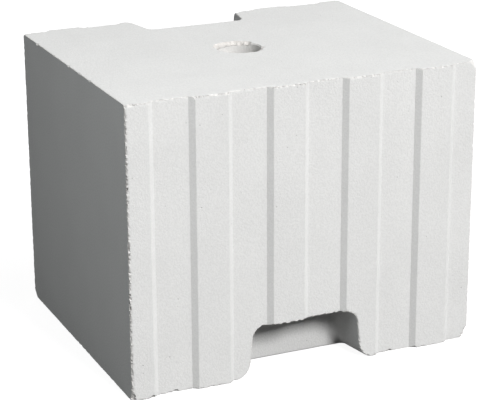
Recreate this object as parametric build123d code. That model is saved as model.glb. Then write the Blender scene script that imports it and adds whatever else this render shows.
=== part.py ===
"""Calcium silicate block with tongued and grooved ends, pressed in one piece.

The block stands on its lower bed face. +X runs across the wall, +Y along it and +Z up,
and the origin is the middle of the lower bed face. Lengths are in millimetres.
"""
import os
from math import ceil, cos, radians, sqrt, tan

from build123d import *

# The block, from side to side and from tongue crest to tongue crest
block_width = 300.0
block_length = 248.0
block_height = 238.0
arris_radius = 0.6

# The tongues and grooves of the two ends
tongue_pitch = 64.4
tongue_depth = 3.5
flank_run = 4.3          # sideways run of one sloping flank
flank_clearance = 1.0    # play of a tongue in its groove, on each flank

# The grip pockets, with their widths and depth taken at the bed face before it rounds off
grip_height = 43.0
grip_depth = 34.5
grip_mouth_width = 98.5
grip_inner_width = 86.5
grip_side_draft = 5.5    # degrees off the vertical, so that the die lets go
grip_back_draft = 1.0
grip_corner_radius = 8.0
grip_ceiling_radius = 10.0

# How far the edges of the front pocket are rounded
foot_side_radius = 12.0
foot_back_radius = 1.5
front_mouth_radius = 1.5

# How far the edges of the rear pocket are rounded
rim_radius = 1.0
rear_mouth_radius = 6.0

# The hole down the middle
hole_diameter = 36.0
hole_rim = 1.0           # broken-out cone around the mouth

# The upper press die shapes the hole and the rear pocket, the lower one the front pocket,
# and both sit a little off the middle
upper_die_shift = -3.5
lower_die_shift = -0.8

# How the cutters are made
overcut = 4.0            # reach of a cutter past the face it enters
arc_steps = 10           # straight steps in a rounding that is lofted
mouth_fall = 0.8         # how far a rounded mouth line runs clear of the end face


def rounding(height, radius):
    """How far a quarter circle that starts flat at height 0 still reaches out at a height."""
    rest = radius - min(max(height, 0.0), radius)
    return radius - sqrt(radius**2 - rest**2)


def arc_levels(radius):
    """Heights of equal steps along a quarter circle, from where it lies flat."""
    turns = [radians(90.0) * step / arc_steps for step in range(arc_steps + 1)]
    return [radius * (1.0 - cos(turn)) for turn in turns]


def end_grooves():
    """The plan of all grooves in the front end."""
    middle_width = tongue_pitch / 2 + flank_clearance
    mouth_half = (middle_width + flank_run) / 2
    floor_half = (middle_width - flank_run) / 2
    groove = make_face(
        Polyline(
            (-mouth_half, -overcut),
            (-mouth_half, 0.0),
            (-floor_half, tongue_depth),
            (floor_half, tongue_depth),
            (mouth_half, 0.0),
            (mouth_half, -overcut),
            close=True,
        )
    )
    reach = ceil(block_width / tongue_pitch)
    centres = [tongue_pitch * (turn + 0.25) for turn in range(-reach, reach + 1)]
    inside = [centre for centre in centres if abs(centre) - mouth_half < block_width / 2]
    return [Pos(centre, -block_length / 2) * groove for centre in inside]


def pressed_body():
    """The block with its tongued ends and worn outer edges, before the pockets and the hole."""
    front = end_grooves()
    rear = [Rot(0, 0, 180) * groove for groove in front]
    plan = Rectangle(block_width, block_length)
    for groove in front + rear:
        plan -= groove
    body = extrude(plan, amount=block_height)
    by_height = body.faces().sort_by(Axis.Z)
    bed_edges = by_height[0].edges() + by_height[-1].edges()
    uprights = body.edges().filter_by(Axis.Z).group_by(Axis.X)
    return fillet(bed_edges + uprights[0] + uprights[-1], arris_radius)


def grip_outline(level, side_radius, back_radius, mouth_radius):
    """The plan of a grip pocket at one height above its bed face, with the mouth on y = 0."""
    height = max(level, 0.0)
    side_lean = height * tan(radians(grip_side_draft))
    back_lean = height * tan(radians(grip_back_draft))
    ceiling = rounding(grip_height - level, grip_ceiling_radius)
    narrowing = (grip_mouth_width - grip_inner_width) / 2 / grip_depth
    side_flare = rounding(level, side_radius)
    back_flare = rounding(level, back_radius)
    mouth_half = grip_mouth_width / 2 - side_lean - ceiling + side_flare
    depth = grip_depth - back_lean - ceiling + back_flare
    inner_half = mouth_half - narrowing * depth
    outer_half = mouth_half + 2 * mouth_radius
    outline = make_face(
        Polyline(
            (-outer_half, -overcut),
            (-outer_half, -mouth_fall),
            (-mouth_half, 0.0),
            (-inner_half, depth),
            (inner_half, depth),
            (mouth_half, 0.0),
            (outer_half, -mouth_fall),
            (outer_half, -overcut),
            close=True,
        )
    )
    by_depth = outline.vertices().group_by(Axis.Y)
    outline = fillet(by_depth[-1], grip_corner_radius + back_flare)
    mouth_corners = outline.vertices().filter_by(lambda corner: abs(corner.Y) < mouth_fall / 2)
    outline = fillet(mouth_corners, mouth_radius)
    return Pos(0, 0, level) * outline


def grip_cutter(side_radius, back_radius, mouth_radius):
    """A pocket that opens to the front and to the bed face below, built up from its plans."""
    foot = arc_levels(max(side_radius, back_radius))
    ceiling = [grip_height - level for level in arc_levels(grip_ceiling_radius)]
    levels = [-overcut] + foot + ceiling[::-1]
    plans = [grip_outline(level, side_radius, back_radius, mouth_radius) for level in levels]
    return loft(plans, ruled=True)


def centre_hole():
    """The hole through the block, with the broken-out cone at its upper mouth."""
    radius = hole_diameter / 2
    shaft = Pos(upper_die_shift, 0, block_height / 2) * Cylinder(radius, block_height + 2 * overcut)
    cone = Cone(radius, radius + hole_rim + overcut, hole_rim + overcut)
    return shaft + Pos(upper_die_shift, 0, block_height + (overcut - hole_rim) / 2) * cone


front_grip = Pos(lower_die_shift, -block_length / 2, 0) * grip_cutter(
    foot_side_radius, foot_back_radius, front_mouth_radius
)
rear_grip = Pos(upper_die_shift, block_length / 2, block_height) * Rot(180, 0, 0) * grip_cutter(
    rim_radius, rim_radius, rear_mouth_radius
)

block = pressed_body() - front_grip - rear_grip - centre_hole()

os.makedirs("parts", exist_ok=True)
export_step(block, "parts/block.step")
print("volume in litres", round(block.volume / 1e6, 3), "box", block.bounding_box().size)
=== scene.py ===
# %% [markdown]
# # A calcium silicate block
# The block is sand and lime, pressed into a steel mould and hardened in steam. It comes out chalk white
# and very flat, and what tells the eye that it is stone are its edges: they crumble where they were
# handled. This lesson takes the block's exact solid, wears its edges the way the real ones wear, gives it
# a sandy white finish and sets it in soft light from the front right.

# %% Load the frame
import math

import bmesh
import bpy
import numpy as np
from mathutils import Euler, Matrix, Vector, noise


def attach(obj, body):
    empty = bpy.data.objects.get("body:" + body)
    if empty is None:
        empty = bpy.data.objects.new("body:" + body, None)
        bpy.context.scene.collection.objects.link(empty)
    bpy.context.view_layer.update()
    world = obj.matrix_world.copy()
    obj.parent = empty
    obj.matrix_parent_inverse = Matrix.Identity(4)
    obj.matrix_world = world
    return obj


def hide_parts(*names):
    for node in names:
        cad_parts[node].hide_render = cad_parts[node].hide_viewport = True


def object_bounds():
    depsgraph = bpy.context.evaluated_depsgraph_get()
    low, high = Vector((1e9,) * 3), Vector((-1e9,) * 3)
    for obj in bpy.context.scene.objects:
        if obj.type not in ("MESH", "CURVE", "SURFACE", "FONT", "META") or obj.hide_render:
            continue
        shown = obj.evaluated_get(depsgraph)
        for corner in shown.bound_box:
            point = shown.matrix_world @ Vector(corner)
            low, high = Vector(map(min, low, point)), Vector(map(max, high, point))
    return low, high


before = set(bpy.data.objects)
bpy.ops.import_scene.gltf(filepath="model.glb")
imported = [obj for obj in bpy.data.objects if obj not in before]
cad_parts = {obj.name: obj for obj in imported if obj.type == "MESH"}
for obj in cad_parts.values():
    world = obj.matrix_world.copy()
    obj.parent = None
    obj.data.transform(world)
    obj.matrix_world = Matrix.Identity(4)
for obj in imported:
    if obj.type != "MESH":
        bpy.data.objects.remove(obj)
cad_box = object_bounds()
print("CAD box in metres", [tuple(round(value, 4) for value in corner) for corner in cad_box])

# %% [markdown]
# ## The camera
# A product photograph is taken from far away with a long lens, so upright edges stay nearly parallel.
# The camera is described the way a photographer would say it: where it aims, from which side, how high,
# how far away, and with what lens.

# %% Camera
aim_point = Vector((0.0031, -0.0061, 0.1065))
view_azimuth = math.radians(-24.16)
view_elevation = math.radians(18.89)
view_roll = math.radians(-0.24)
view_distance = 1.5102
lens_length = 128.95
sensor_width = 36.0

camera_data = bpy.data.cameras.new("photo_camera")
camera_data.lens = lens_length
camera_data.sensor_width = sensor_width
camera = bpy.data.objects.new("photo_camera", camera_data)
bpy.context.scene.collection.objects.link(camera)
turn = Euler((math.pi / 2 - view_elevation, 0.0, view_azimuth)).to_matrix()
turn = turn @ Matrix.Rotation(view_roll, 3, "Z")
stand = aim_point + turn @ Vector((0.0, 0.0, view_distance))
camera.matrix_world = Matrix.Translation(stand) @ turn.to_4x4()
bpy.context.scene.camera = camera
print("camera stands at", tuple(round(value, 3) for value in camera.matrix_world.translation))

# %% [markdown]
# ## A finely divided copy of the solid
# The exact solid has only a few large faces, and a crumbly edge needs points to move. A Remesh modifier
# divides the whole surface into even squares hardly larger than the sand grains. Its voxel mode would melt
# the slim flanks of the tongues, so the sharp mode is used, which puts points right on the edges.

# %% Remesh the solid
MILLIMETRE = 0.001
merge_reach = 0.001 * MILLIMETRE
square_size = 0.85 * MILLIMETRE
octree_depth = 9
block_low, block_high = (np.array(corner) for corner in cad_box)


def evaluated_mesh(piece):
    """The mesh of a piece with its modifiers applied."""
    return bpy.data.meshes.new_from_object(piece.evaluated_get(bpy.context.evaluated_depsgraph_get()))


def apply_modifiers(piece):
    """Make what the modifiers show the piece's own mesh."""
    finished = evaluated_mesh(piece)
    piece.modifiers.clear()
    piece.data = finished


def merged_copy(node, name):
    """A new object with the mesh of a CAD node, its loose triangles merged into one closed skin."""
    skin = bmesh.new()
    skin.from_mesh(node.data)
    bmesh.ops.remove_doubles(skin, verts=skin.verts, dist=merge_reach)
    mesh = bpy.data.meshes.new(name)
    skin.to_mesh(mesh)
    skin.free()
    piece = bpy.data.objects.new(name, mesh)
    bpy.context.scene.collection.objects.link(piece)
    return piece


block = merged_copy(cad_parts["block"], "worn_block")
remesh = block.modifiers.new("even squares", "REMESH")
remesh.mode = "SHARP"
remesh.octree_depth = octree_depth
remesh.scale = max(block_high - block_low) / (square_size * 2**octree_depth)
remesh.use_remove_disconnected = False
apply_modifiers(block)
print("squares in the remeshed block", len(block.data.polygons))

# %% [markdown]
# ## Finding the edges
# Where is an edge? Smooth the whole block a little and see which points move: flat faces stay where they
# are, outer edges sink in and inner corners fill up. How far a point sinks tells how exposed it is, and
# the smoothed place is where long handling would wear it to. Only square edges count here: the slanted
# edges of the tongues come clean out of the mould and stay clean. The upright edge at the front left is
# the one exception, for it is worn along a wider band.

# %% Measure how exposed each point is
smoothing_rounds = 40
smoothing_step = 0.5
square_edge_share = 0.995
clean_limit, left_edge_limit = 0.36, 0.05
most_exposure = 1.2
left_edge_reach = 8.0 * MILLIMETRE


def positions(mesh):
    """All points of a mesh as an array of rows."""
    flat = np.empty(len(mesh.vertices) * 3)
    mesh.vertices.foreach_get("co", flat)
    return flat.reshape(-1, 3)


def normals(mesh):
    """The outward direction at each point of a mesh."""
    flat = np.empty(len(mesh.vertices) * 3)
    mesh.vertex_normals.foreach_get("vector", flat)
    return flat.reshape(-1, 3)


def beside_left_edge(points):
    """Which points lie beside the upright edge at the front left."""
    return np.hypot(points[:, 0] - block_low[0], points[:, 1] - block_low[1]) < left_edge_reach


smooth = block.modifiers.new("handled copy", "SMOOTH")
smooth.iterations = smoothing_rounds
smooth.factor = smoothing_step
pull = positions(evaluated_mesh(block)) - positions(block.data)
block.modifiers.clear()
sinking = -np.einsum("ij,ij->i", pull, normals(block.data))
edge_sinking = np.quantile(sinking, square_edge_share)
least_sinking = np.where(beside_left_edge(positions(block.data)), left_edge_limit, clean_limit)
exposure = np.clip((sinking / edge_sinking - least_sinking) / (1.0 - least_sinking), 0.0, most_exposure)
print("square edges sink by", round(edge_sinking / MILLIMETRE, 2), "mm")
print("exposed points", np.count_nonzero(exposure))

# %% [markdown]
# ## Smaller squares along the edges
# A grain of sand is smaller than the squares, so the squares next to an edge are cut once more. What was
# measured at the corners of a square is stored on the mesh first, and the cut fills in the values between.

# %% Cut the squares along the edges
pull_store = block.data.attributes.new("pull", "FLOAT_VECTOR", "POINT")
pull_store.data.foreach_set("vector", pull.ravel())
exposure_store = block.data.attributes.new("exposure", "FLOAT", "POINT")
exposure_store.data.foreach_set("value", exposure)
skin = bmesh.new()
skin.from_mesh(block.data)
exposed = skin.verts.layers.float["exposure"]
edge_lines = [line for line in skin.edges if max(corner[exposed] for corner in line.verts) > 0.0]
bmesh.ops.subdivide_edges(skin, edges=edge_lines, cuts=1, use_grid_fill=True)
skin.to_mesh(block.data)
skin.free()

sharp_points = positions(block.data)
pull = np.empty(sharp_points.size)
block.data.attributes["pull"].data.foreach_get("vector", pull)
pull = pull.reshape(-1, 3)
exposure = np.empty(len(sharp_points))
block.data.attributes["exposure"].data.foreach_get("value", exposure)
for helper in ("pull", "exposure"):
    block.data.attributes.remove(block.data.attributes[helper])
band = np.flatnonzero(exposure > 0.0)
print("faces after the cut", len(block.data.polygons), "points to wear", len(band))

# %% [markdown]
# ## Crumbled edges
# Sand and lime break off in crumbs. Space is divided into crumbs of about two millimetres, and every crumb
# has lost its own random share along each of the three directions, so an edge gets small steps and teeth
# instead of an even rounding. The random numbers belong to the place, so every run gives the same block.
# The front was handled most, and the side at the far right hardly at all.

# %% Crumble the edges
crumb_size = 1.9 * MILLIMETRE
fleck_size = 1.2 * MILLIMETRE
stretch_size = 28.0 * MILLIMETRE
crumb_wear, fleck_wear, most_wear = 1.35, 0.25, 1.6
kept_crumbs, left_edge_kept = 0.5, 0.25
mean_stretch, stretch_swing = 0.75, 0.6
calmest_stretch, roughest_stretch = 0.35, 1.3
front_share, rear_share, right_share = 1.3, 0.5, 0.4
front_reach = 12.0 * MILLIMETRE
right_reach = 6.0 * MILLIMETRE
left_edge_wear = np.array((1.2, 2.4, 1.0))
# Where each random pattern starts, so that no two are alike.
stretch_start, fleck_start = 1.7, 8.3


def soft_noise(points, size, start):
    """Smooth random numbers between about -1 and 1 that change over the given size."""
    shift = Vector((start, 2.0 * start, 3.0 * start))
    return np.array([noise.noise(Vector(point) / size + shift) for point in points])


def crumb_shares(points, size):
    """Three random numbers from 0 to 1 for each point, the same for all points in one crumb."""
    seeds = [noise.voronoi(Vector(point) / size)[1][0] for point in points]
    return np.array([noise.cell_vector(seed) for seed in seeds])


edge_points = sharp_points[band]
edge_pull = pull[band]
stretch = mean_stretch + stretch_swing * soft_noise(edge_points, stretch_size, stretch_start)
stretch = np.clip(stretch, calmest_stretch, roughest_stretch)
stretch *= np.interp(edge_points[:, 1] - block_low[1], [0.0, front_reach], [front_share, rear_share])
stretch *= np.where(block_high[0] - edge_points[:, 0] < right_reach, right_share, 1.0)
left_edge = beside_left_edge(edge_points)
kept = np.where(left_edge, left_edge_kept, kept_crumbs)[:, None]
lost_shares = np.clip((crumb_shares(edge_points, crumb_size) - kept) / (1.0 - kept), 0.0, 1.0)
flecks = fleck_wear * soft_noise(edge_points, fleck_size, fleck_start)
wear = np.clip(crumb_wear * lost_shares + flecks[:, None], 0.0, most_wear)
wear *= (stretch * np.minimum(exposure[band], 1.0))[:, None]
wear[left_edge] *= left_edge_wear
worn_points = sharp_points.copy()
worn_points[band] += edge_pull * wear
print("mean wear near an edge", round(float(wear.mean()), 3), "most", round(float(wear.max()), 2))

# %% [markdown]
# ## Worn corners
# A corner is knocked from three sides and wears round. Picture a large ball inside the block that nearly
# touches the corner: every point that sticks out of the ball is drawn back to its skin.

# %% Round the corners
ball_inset = 20.0 * MILLIMETRE
corner_roughness = 0.006
corner_start = 5.1
# Name, place in millimetres and how much of the tip is gone.
round_corners = (
    ("upper right front corner", (150.0, -120.5, 238.0), 3.4),
    ("upper left front corner", (-150.0, -124.0, 238.0), 1.7),
    ("upper left rear corner", (-150.0, 120.5, 238.0), 1.4),
    ("upper right rear corner", (150.0, 124.0, 238.0), 1.6),
    ("lower left rear corner", (-150.0, 120.5, 0.0), 3.4),
)
block_middle = (block_low + block_high) / 2
for name, place, depth in round_corners:
    tip = np.array(place) * MILLIMETRE
    centre = tip + np.sign(block_middle - tip) * ball_inset
    ball_radius = math.sqrt(3.0) * ball_inset - depth * MILLIMETRE
    near = np.flatnonzero(np.linalg.norm(worn_points - tip, axis=1) < ball_inset)
    ways = worn_points[near] - centre
    rough = corner_roughness * soft_noise(worn_points[near], crumb_size, corner_start)
    scale = np.minimum(ball_radius * (1.0 + rough) / np.linalg.norm(ways, axis=1), 1.0)
    worn_points[near] = centre + ways * scale[:, None]
    print("rounded:", name)

# %% [markdown]
# ## Chips
# Besides the crumbling there are chips, where a knock took a flake away. A chip is a scoop: every point
# inside a ball that reaches into the edge is pushed out to the skin of the ball. Cutting with real balls
# would leave hundreds of slivers, so the points are moved. These small chips are strewn at random.

# %% Chip the edges
strewn_chips = 50
chip_seed = 23
smallest_chip, largest_chip = 1.0 * MILLIMETRE, 2.2 * MILLIMETRE
chip_share = 0.3
chip_roughness = 0.1
chip_start = 2.9
sharpest_exposure = 0.8
least_pull = 1e-9


def scoop(points, centre, radius):
    """Push the points that lie inside a rough ball out to its skin."""
    ways = points - centre
    lengths = np.linalg.norm(ways, axis=1)
    near = np.flatnonzero(lengths < radius * (1.0 + chip_roughness))
    if len(near) == 0:
        return
    rough = radius * (1.0 + chip_roughness * soft_noise(points[near], fleck_size, chip_start))
    scale = np.maximum(rough / lengths[near], 1.0)
    points[near] = centre + ways[near] * scale[:, None]


draw = np.random.default_rng(chip_seed)
outward = -edge_pull / np.maximum(np.linalg.norm(edge_pull, axis=1), least_pull)[:, None]
corners = np.flatnonzero((exposure[band] > sharpest_exposure) & ~left_edge)
for pick in draw.choice(corners, strewn_chips, replace=False):
    radius = draw.uniform(smallest_chip, largest_chip)
    depth = chip_share * radius
    scoop(worn_points, worn_points[band[pick]] + outward[pick] * (radius - depth), radius)
print("strewn chips", strewn_chips, "among", len(corners), "edge points")

# %% [markdown]
# ## The chips that stand out
# A few chips are large enough to know the block by, most of them along its foot. Each one is placed one by
# one with the same scoop, on the point of an edge that lies nearest to where the knock came.

# %% Chips that stand out
# Name, place in millimetres, radius of the ball and how deep it bites.
knocks = (
    ("lower right front corner", (150.0, -121.0, 1.0), 16.0, 4.2),
    ("lower left front corner", (-150.0, -124.0, 3.0), 8.0, 2.6),
    ("foot of the left edge, low", (-150.0, -124.0, 24.0), 4.5, 1.4),
    ("foot of the left edge, middle", (-150.0, -124.0, 38.0), 3.4, 1.2),
    ("foot of the left edge, high", (-150.0, -124.0, 52.0), 3.6, 1.1),
    ("lower edge, first tongue", (-132.5, -124.0, 0.5), 3.2, 1.5),
    ("lower edge, first groove", (-112.4, -120.5, 0.5), 3.0, 1.4),
    ("lower edge, second tongue", (-83.0, -124.0, 0.0), 4.0, 1.2),
    ("lower edge, right of the pocket", (77.0, -121.0, 0.5), 2.0, 1.2),
    ("lower edge, right groove", (98.0, -124.0, 0.0), 3.0, 1.2),
    ("upper left edge, far notch", (-150.0, 83.0, 238.0), 4.0, 1.3),
    ("upper left edge, middle notch", (-150.0, -22.0, 238.0), 3.0, 0.9),
    ("upper left edge, near notch", (-150.0, -47.0, 238.0), 3.0, 0.9),
    ("rear pocket, right end of the mouth", (46.5, 123.0, 238.0), 9.0, 2.8),
)


def knock(spot, radius, depth):
    """Take a chip of the given depth out of the edge nearest to a spot."""
    nearest = np.argmin(np.linalg.norm(edge_points - spot, axis=1))
    scoop(worn_points, edge_points[nearest] + outward[nearest] * (radius - depth), radius)


for name, place, radius, depth in knocks:
    knock(np.array(place) * MILLIMETRE, radius * MILLIMETRE, depth * MILLIMETRE)
    print("knocked:", name)

# %% [markdown]
# ## The broken rim of the hole
# When the core pin was drawn, the upper rim of the hole broke out, most of it on the far side. Small scoops
# close together leave thin ridges between them, the way a crumbling rim does.

# %% Break the rim of the hole
hole_middle = np.array((-3.5, 0.0)) * MILLIMETRE
hole_reach = 18.9 * MILLIMETRE
# Name, first and last angle around the hole from +X in degrees, how many scoops and how deep they bite.
rim_breaks = (
    ("far rim", 46.0, 152.0, 18, (1.5, 3.0)),
    ("near right rim", -75.0, -20.0, 9, (0.4, 0.9)),
)
rim_scoops = (3.0 * MILLIMETRE, 5.0 * MILLIMETRE)
for name, first, last, count, depths in rim_breaks:
    for angle in np.radians(np.linspace(first, last, count)):
        rim_spot = hole_middle + hole_reach * np.array((np.cos(angle), np.sin(angle)))
        bite = draw.uniform(*depths) * MILLIMETRE
        knock(np.append(rim_spot, block_high[2]), draw.uniform(*rim_scoops), bite)
    print("broke the", name, "of the hole with", count, "scoops")

# %% [markdown]
# ## What the finish has to know
# The moved points go back into the mesh, held inside the solid's own box. Two facts stay with each point as
# attributes. One mixes in a warmer, darker white. This is partly because a fresh break is a warmer white
# than the pressed skin, and partly painted shade on the exposed edges and in the hole: most of all on the
# rim of the hole, then on its wall. The other says how pitted it is, and the pits are painted dark as shade
# in their hollows.

# %% Put the worn points back
full_break = 0.8 * MILLIMETRE
edge_break_and_shade, exposed_shade_share, hole_wall_shade_and_rough = 0.5, 0.3, 0.42
rim_reach = 27.0 * MILLIMETRE
rim_loss = 0.15 * MILLIMETRE
edge_pits = 0.7


def store(name, values):
    """Keep one number for each point of the block under a name."""
    block.data.attributes.new(name, "FLOAT", "POINT").data.foreach_set("value", values)


final_points = np.clip(worn_points, block_low, block_high)
block.data.vertices.foreach_set("co", final_points.ravel())
lost = np.linalg.norm(final_points - sharp_points, axis=1)
from_hole = np.linalg.norm(sharp_points[:, :2] - hole_middle, axis=1)
broken_rim = (from_hole < rim_reach) & (lost > rim_loss)
# The warmer, darker white is partly the colour of fresh breaks and partly painted shade on the exposed
# edges and on the wall of the hole.
broken_and_shaded = np.clip(edge_break_and_shade * lost / full_break + exposed_shade_share * exposure, 0.0, edge_break_and_shade)
broken_and_shaded[from_hole < hole_reach] = hole_wall_shade_and_rough
broken_and_shaded[broken_rim] = 1.0
store("broken_and_shaded", broken_and_shaded)
store("pitted", edge_pits * np.minimum(exposure, 1.0))
print("points on the broken rim of the hole", np.count_nonzero(broken_rim))

# %% [markdown]
# ## One mesh that is fine only where it has to be
# A Decimate modifier thins the flat faces, where small squares show nothing, and leaves the crumbled edges
# alone. The long triangles that are left would shade in streaks, so a Weighted Normal modifier makes every
# point look the way its largest faces do.

# %% Thin the flat faces
triangle_goal = 180000
crease_angle = math.radians(32.0)


def triangle_count(mesh):
    """How many triangles the faces of a mesh come to."""
    return sum(len(face.vertices) - 2 for face in mesh.polygons)


thin = block.modifiers.new("thin flat faces", "DECIMATE")
thin.ratio = triangle_goal / triangle_count(block.data)
apply_modifiers(block)
block.data.shade_smooth()
block.data.set_sharp_from_angle(angle=crease_angle)
weigh = block.modifiers.new("flat faces stay flat", "WEIGHTED_NORMAL")
weigh.keep_sharp = True
apply_modifiers(block)
print("triangles in the finished block", triangle_count(block.data))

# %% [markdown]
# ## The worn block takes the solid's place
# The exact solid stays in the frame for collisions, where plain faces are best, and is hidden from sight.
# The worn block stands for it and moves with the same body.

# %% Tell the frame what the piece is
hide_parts("block")
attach(block, "root")
print(block.name, "stands for the solid")

# %% [markdown]
# ## Sand and lime
# From a step away the block is plain white, and close up it is grainy: sand grains stand a little proud,
# tiny pores are painted dark as shade in their hollows, and the white wanders faintly from place to place.
# An image could show this, but it would have to be wrapped around every tongue. Here all of it is worked
# out from the place on the block (Object coordinates), so it stays put when the camera or the light moves.
# First come the few small tools that the finish is put together from.

# %% Tools for the finish
sand_roughness, sand_gloss = 0.92, 0.2
stone = bpy.data.materials.new("calcium_silicate")
stone.use_nodes = True
nodes = stone.node_tree.nodes
links = stone.node_tree.links
principled = nodes["Principled BSDF"]
principled.inputs["Roughness"].default_value = sand_roughness
principled.inputs["Specular IOR Level"].default_value = sand_gloss
on_block = nodes.new("ShaderNodeTexCoord").outputs["Object"]


def noise_at(size, detail):
    """Noise whose spots are about the given size, from 0 to 1."""
    spots = nodes.new("ShaderNodeTexNoise")
    spots.inputs["Scale"].default_value = 1.0 / size
    spots.inputs["Detail"].default_value = detail
    links.new(on_block, spots.inputs["Vector"])
    return spots.outputs["Fac"]


def attribute(name):
    """The numbers kept under a name on the points of the block."""
    kept_numbers = nodes.new("ShaderNodeAttribute")
    kept_numbers.attribute_name = name
    return kept_numbers.outputs["Fac"]


def calculate(operation, first, second):
    """A Math node on two values, each a number or another node's output."""
    step = nodes.new("ShaderNodeMath")
    step.operation = operation
    for socket, value in zip(step.inputs, (first, second)):
        if isinstance(value, (int, float)):
            socket.default_value = value
        else:
            links.new(value, socket)
    return step.outputs["Value"]


def spread(value, low, high, new_low, new_high):
    """Stretch a range of values to another one, cut off at its ends."""
    step = nodes.new("ShaderNodeMapRange")
    ends = {"From Min": low, "From Max": high, "To Min": new_low, "To Max": new_high}
    for name, number in ends.items():
        step.inputs[name].default_value = number
    links.new(value, step.inputs["Value"])
    return step.outputs["Result"]


print("started the material", stone.name)

# %% [markdown]
# ## Grain, pores and pits
# The sand is noise of two sizes, and slow noise makes the white wander. Pores are the middles of random
# cells, some of which stay empty, and they are painted dark as shade in their hollows. Pits are the same at
# a closer spacing, but only where the stone is pitted: along the edges, and in a few places given below.

# %% Grain, pores and pits
grain_scale, grain_detail = 1.5 * MILLIMETRE, 1.0
fine_grain_scale, fine_grain_detail = 0.8 * MILLIMETRE, 0.0
mottle_scale, mottle_detail = 45.0 * MILLIMETRE, 3.0
pore_spacing, pore_reach = 9.0 * MILLIMETRE, 0.085
pit_spacing, pit_reach = 2.6 * MILLIMETRE, 0.34
empty_cells = 0.3
spot_outline = 0.03
patch_core = 0.4
# Name, place in millimetres, how far it reaches and how strongly it is pitted.
pitted_places = (
    ("foot of the first groove", (-112.0, -120.5, 33.0), 13.0, 0.8),
    ("foot of the first tongue", (-139.0, -124.0, 28.0), 9.0, 0.8),
    ("far right rim of the hole", (6.0, 18.0, 237.0), 7.0, 1.0),
)


def dots(spacing, largest, share):
    """Round spots of random size, 1 inside and 0 outside; a share below 1 makes them smaller."""
    cells = nodes.new("ShaderNodeTexVoronoi")
    cells.inputs["Scale"].default_value = 1.0 / spacing
    links.new(on_block, cells.inputs["Vector"])
    luck = nodes.new("ShaderNodeSeparateColor")
    links.new(cells.outputs["Color"], luck.inputs["Color"])
    reach = calculate("MULTIPLY", spread(luck.outputs["Red"], empty_cells, 1.0, 0.0, largest), share)
    inside = calculate("SUBTRACT", reach, cells.outputs["Distance"])
    return spread(inside, 0.0, spot_outline, 0.0, 1.0)


def patch(middle, reach, strength):
    """A round patch with a soft outline: the strength in its middle, 0 outside."""
    away = nodes.new("ShaderNodeVectorMath")
    away.operation = "DISTANCE"
    away.inputs[1].default_value = middle
    links.new(on_block, away.inputs[0])
    return spread(away.outputs["Value"], patch_core * reach, reach, strength, 0.0)


grain = noise_at(grain_scale, grain_detail)
fine_grain = noise_at(fine_grain_scale, fine_grain_detail)
mottle = noise_at(mottle_scale, mottle_detail)
broken_and_shaded_here = attribute("broken_and_shaded")
pore = dots(pore_spacing, pore_reach, 1.0)
pitted_here = attribute("pitted")
for name, middle, reach, strength in pitted_places:
    spot = Vector(middle) * MILLIMETRE
    pitted_here = calculate("MAXIMUM", pitted_here, patch(spot, reach * MILLIMETRE, strength))
    print("pitted:", name)
pit = dots(pit_spacing, pit_reach, pitted_here)

# %% [markdown]
# ## The whites
# The pressed skin is a nearly neutral white and broken stone a warmer, darker one, which is partly its own
# colour and partly painted shade. The stored attribute mixes the two. The grain and the wandering darken or
# lighten the mix, and the pores and the pits darken it as painted shade in their hollows.

# %% Whites
pressed_white = (0.775, 0.773, 0.763, 1.0)
# Broken white is the warmer colour of fresh breaks, darkened further as painted shade for their rough
# grains.
broken_white_and_shade = (0.65, 0.628, 0.603, 1.0)
grain_range, grain_shades = (0.3, 0.7), (0.963, 1.03)
mottle_range, mottle_shades = (0.35, 0.65), (0.985, 1.012)
# Pores and pits are painted darker as shade in their hollows.
pore_painted_shade, pit_painted_shade = 0.78, 0.62

shade = spread(grain, *grain_range, *grain_shades)
shade = calculate("MULTIPLY", shade, spread(mottle, *mottle_range, *mottle_shades))
shade = calculate("MULTIPLY", shade, spread(pore, 0.0, 1.0, 1.0, pore_painted_shade))
shade = calculate("MULTIPLY", shade, spread(pit, 0.0, 1.0, 1.0, pit_painted_shade))
whites = nodes.new("ShaderNodeMix")
whites.data_type = "RGBA"
whites.inputs["A"].default_value = pressed_white
whites.inputs["B"].default_value = broken_white_and_shade
links.new(broken_and_shaded_here, whites.inputs["Factor"])
tint = nodes.new("ShaderNodeMix")
tint.data_type = "RGBA"
tint.blend_type = "MULTIPLY"
tint.inputs["Factor"].default_value = 1.0
links.new(whites.outputs["Result"], tint.inputs["A"])
links.new(shade, tint.inputs["B"])
links.new(tint.outputs["Result"], principled.inputs["Base Color"])
print("pressed white", pressed_white[:3], "broken white", broken_white_and_shade[:3])

# %% [markdown]
# ## The relief
# A grain stands up less than a fifth of a millimetre, too little to model over the whole block, so a Bump
# node bends the light instead. Broken stone is rougher than pressed stone, and pores and pits go inwards.

# %% Relief
grain_height = 0.17 * MILLIMETRE
fine_share = 0.5
rough_height = 1.5

relief = calculate("ADD", grain, calculate("MULTIPLY", fine_grain, fine_share))
relief = calculate("MULTIPLY", relief, spread(broken_and_shaded_here, 0.0, 1.0, 1.0, rough_height))
relief = calculate("SUBTRACT", relief, calculate("ADD", pore, pit))
bump = nodes.new("ShaderNodeBump")
bump.inputs["Distance"].default_value = grain_height
links.new(relief, bump.inputs["Height"])
links.new(bump.outputs["Normal"], principled.inputs["Normal"])
block.data.materials.clear()
block.data.materials.append(stone)
print("nodes in the white finish", len(nodes))

# %% [markdown]
# ## The studio
# The photograph's ground is pure white, but a floor that really sent back so much light would wash the
# block out. So the floor and the world are white only to the camera, to reflections and through glass, and
# stay dim for the light that falls on the block.

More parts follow.
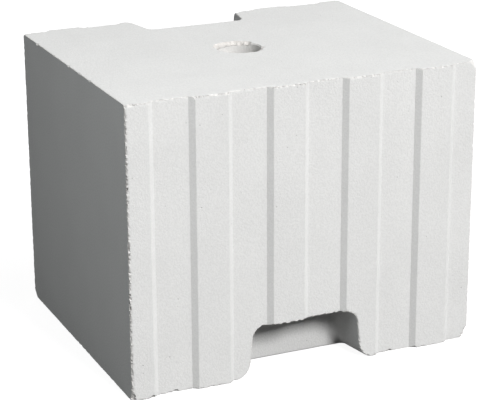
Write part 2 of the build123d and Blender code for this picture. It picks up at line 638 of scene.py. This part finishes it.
# %% Floor
floor_half = 12.0
floor_skin = bmesh.new()
bmesh.ops.create_grid(floor_skin, x_segments=1, y_segments=1, size=floor_half)
floor_mesh = bpy.data.meshes.new("floor")
floor_skin.to_mesh(floor_mesh)
floor_skin.free()
floor = bpy.data.objects.new("floor", floor_mesh)
bpy.context.scene.collection.objects.link(floor)
print("floor of", 2 * floor_half, "metres")

# %% [markdown]
# ## The white of the floor
# A faint glow makes the floor white, and a grey matt shader on top of it takes the block's shadow.

# %% White of the floor
floor_bounce, floor_shadow, floor_glow_level = 0.07, 0.3, 0.92


def seen_mix(tree, dim, white, surface):
    """Show one shader to the camera, to reflections and through glass, and the other to all other rays."""
    ray = tree.nodes.new("ShaderNodeLightPath")
    seen = ray.outputs["Is Camera Ray"]
    for kind in ("Is Glossy Ray", "Is Transmission Ray"):
        either = tree.nodes.new("ShaderNodeMath")
        either.operation = "MAXIMUM"
        tree.links.new(seen, either.inputs[0])
        tree.links.new(ray.outputs[kind], either.inputs[1])
        seen = either.outputs["Value"]
    mix = tree.nodes.new("ShaderNodeMixShader")
    tree.links.new(seen, mix.inputs["Fac"])
    tree.links.new(dim, mix.inputs[1])
    tree.links.new(white, mix.inputs[2])
    tree.links.new(mix.outputs["Shader"], surface)


def grey_diffuse(tree, level):
    """A matt grey shader."""
    grey = tree.nodes.new("ShaderNodeBsdfDiffuse")
    grey.inputs["Color"].default_value = (level, level, level, 1.0)
    return grey.outputs["BSDF"]


pale = bpy.data.materials.new("pale_floor")
pale.use_nodes = True
tree = pale.node_tree
tree.nodes.clear()
floor_out = tree.nodes.new("ShaderNodeOutputMaterial")
floor_glow = tree.nodes.new("ShaderNodeEmission")
floor_glow.inputs["Strength"].default_value = floor_glow_level
floor_sum = tree.nodes.new("ShaderNodeAddShader")
tree.links.new(grey_diffuse(tree, floor_shadow), floor_sum.inputs[0])
tree.links.new(floor_glow.outputs["Emission"], floor_sum.inputs[1])
seen_mix(tree, grey_diffuse(tree, floor_bounce), floor_sum.outputs["Shader"], floor_out.inputs["Surface"])
floor.data.materials.append(pale)
print("floor sends back", floor_bounce, "of the light")

# %% [markdown]
# ## The world
# The world is the backdrop: white where it is seen, and for the block only a trace of light from all sides.

# %% World
ambient_level, backdrop_level = 0.02, 1.0
world = bpy.data.worlds.new("studio")
bpy.context.scene.world = world
world.use_nodes = True
tree = world.node_tree
tree.nodes.clear()
world_out = tree.nodes.new("ShaderNodeOutputWorld")
dim_sky = tree.nodes.new("ShaderNodeBackground")
dim_sky.inputs["Strength"].default_value = ambient_level
white_sky = tree.nodes.new("ShaderNodeBackground")
white_sky.inputs["Strength"].default_value = backdrop_level
seen_mix(tree, dim_sky.outputs["Background"], white_sky.outputs["Background"], world_out.inputs["Surface"])
print("world level", ambient_level)

# %% [markdown]
# ## The lamps
# Five soft boxes: a strong one to the right of the camera that draws the tongues, a second one further
# round to the right, a low one close by on the left that opens the shaded side and fades towards the back,
# a faint one overhead and one behind that keeps the rear readable.

# %% Lamps
lamp_target = Vector((0.0, 0.0, 0.12))
neutral = (1.0, 1.0, 1.0)
cool = (0.955, 0.992, 1.0)


def softbox(name, azimuth, elevation, distance, size, level, tint):
    """A square soft box that lights a facing white surface to the given level, seen from the block."""
    lamp = bpy.data.lights.new(name, "AREA")
    lamp.shape = "SQUARE"
    lamp.size = size
    lamp.color = tint
    lamp.energy = level * (math.pi * distance) ** 2
    box = bpy.data.objects.new(name, lamp)
    bpy.context.scene.collection.objects.link(box)
    side = math.radians(azimuth)
    rise = math.radians(elevation)
    away = Vector((math.sin(side) * math.cos(rise), -math.cos(side) * math.cos(rise), math.sin(rise)))
    turned = away.to_track_quat("Z", "Y").to_matrix().to_4x4()
    box.matrix_world = Matrix.Translation(lamp_target + away * distance) @ turned
    box.visible_camera = False
    print(name, "gives", round(lamp.energy, 1), "watts")


softbox("key_box", azimuth=12.5, elevation=35.0, distance=5.0, size=1.3, level=0.897, tint=neutral)
softbox("right_box", azimuth=53.0, elevation=43.0, distance=4.0, size=1.5, level=0.32, tint=neutral)
softbox("left_box", azimuth=-71.0, elevation=24.0, distance=1.0, size=0.4, level=0.176, tint=cool)
softbox("high_box", azimuth=45.0, elevation=70.0, distance=1.8, size=1.0, level=0.16, tint=cool)
softbox("rear_box", azimuth=170.0, elevation=25.0, distance=2.5, size=1.2, level=0.15, tint=neutral)

# %% [markdown]
# ## Colour handling
# The Standard view shows a colour as it is written.

# %% Colour handling
bpy.context.scene.view_settings.view_transform = "Standard"
